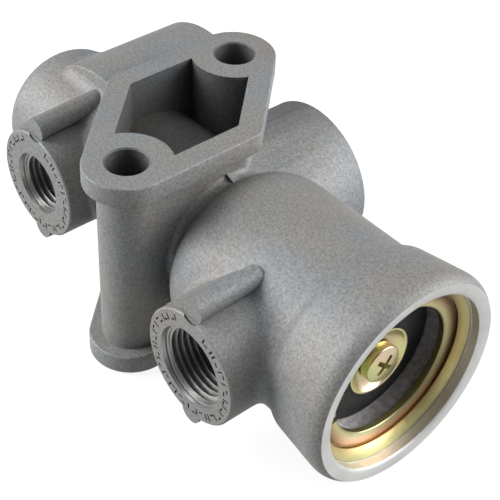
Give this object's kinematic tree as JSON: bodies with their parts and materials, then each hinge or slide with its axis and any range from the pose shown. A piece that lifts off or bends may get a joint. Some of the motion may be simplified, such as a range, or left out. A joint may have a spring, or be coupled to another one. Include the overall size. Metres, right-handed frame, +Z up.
{
  "type": "tractor protection valve",
  "caption": "Tractor protection valve for a truck air system: cast aluminium body with a bolting flange, pipe ports, sliding plunger, double check valve and rubber-flap exhaust.",
  "frame": {"origin": "centre of the foot's underside, midway between the two mounting bolts", "axes": "+Z up through the mounting flange, parallel to the bolts; +X along the main bore to its open exhaust end; -Y towards the two front ports"},
  "size_m": [0.1208, 0.0615, 0.0507],
  "materials": {
    "cast_aluminium": "matte",
    "yellow_zinc": "satin",
    "dark_coated_steel": "matte",
    "black_rubber": "matte",
    "brass": "satin",
    "steel": "satin"
  },
  "bodies": {
    "body": {"valve_body": "cast_aluminium", "retaining_ring": "yellow_zinc", "exhaust_cover": "dark_coated_steel", "cover_o_ring": "black_rubber", "exhaust_flap": "black_rubber", "flap_washer": "yellow_zinc", "flap_screw": "yellow_zinc", "plunger_spring": "steel", "stem_guide": "brass", "guide_o_ring": "black_rubber", "stem_o_ring_inner": "black_rubber", "stem_o_ring_outer": "black_rubber", "guide_retaining_ring": "steel", "check_seat": "brass", "check_seat_o_ring": "black_rubber"},
    "plunger_group": {"plunger": "brass", "plunger_head_o_ring": "black_rubber", "service_valve_disc": "black_rubber", "valve_washer": "steel", "valve_screw": "steel"},
    "shuttle_group": {"check_shuttle": "brass", "shuttle_seal_front": "black_rubber", "shuttle_seal_rear": "black_rubber"}
  },
  "joints": [
    {"name": "plunger_slide", "type": "slide", "parent": "body", "child": "plunger_group", "axis": [1, 0, 0], "range_m": [0, 0.004], "stiffness_N_per_m": 600, "deforming": ["plunger_spring"]},
    {"name": "shuttle_slide", "type": "slide", "parent": "body", "child": "shuttle_group", "axis": [0, 1, 0], "range_m": [0, 0.0087]}
  ]
}
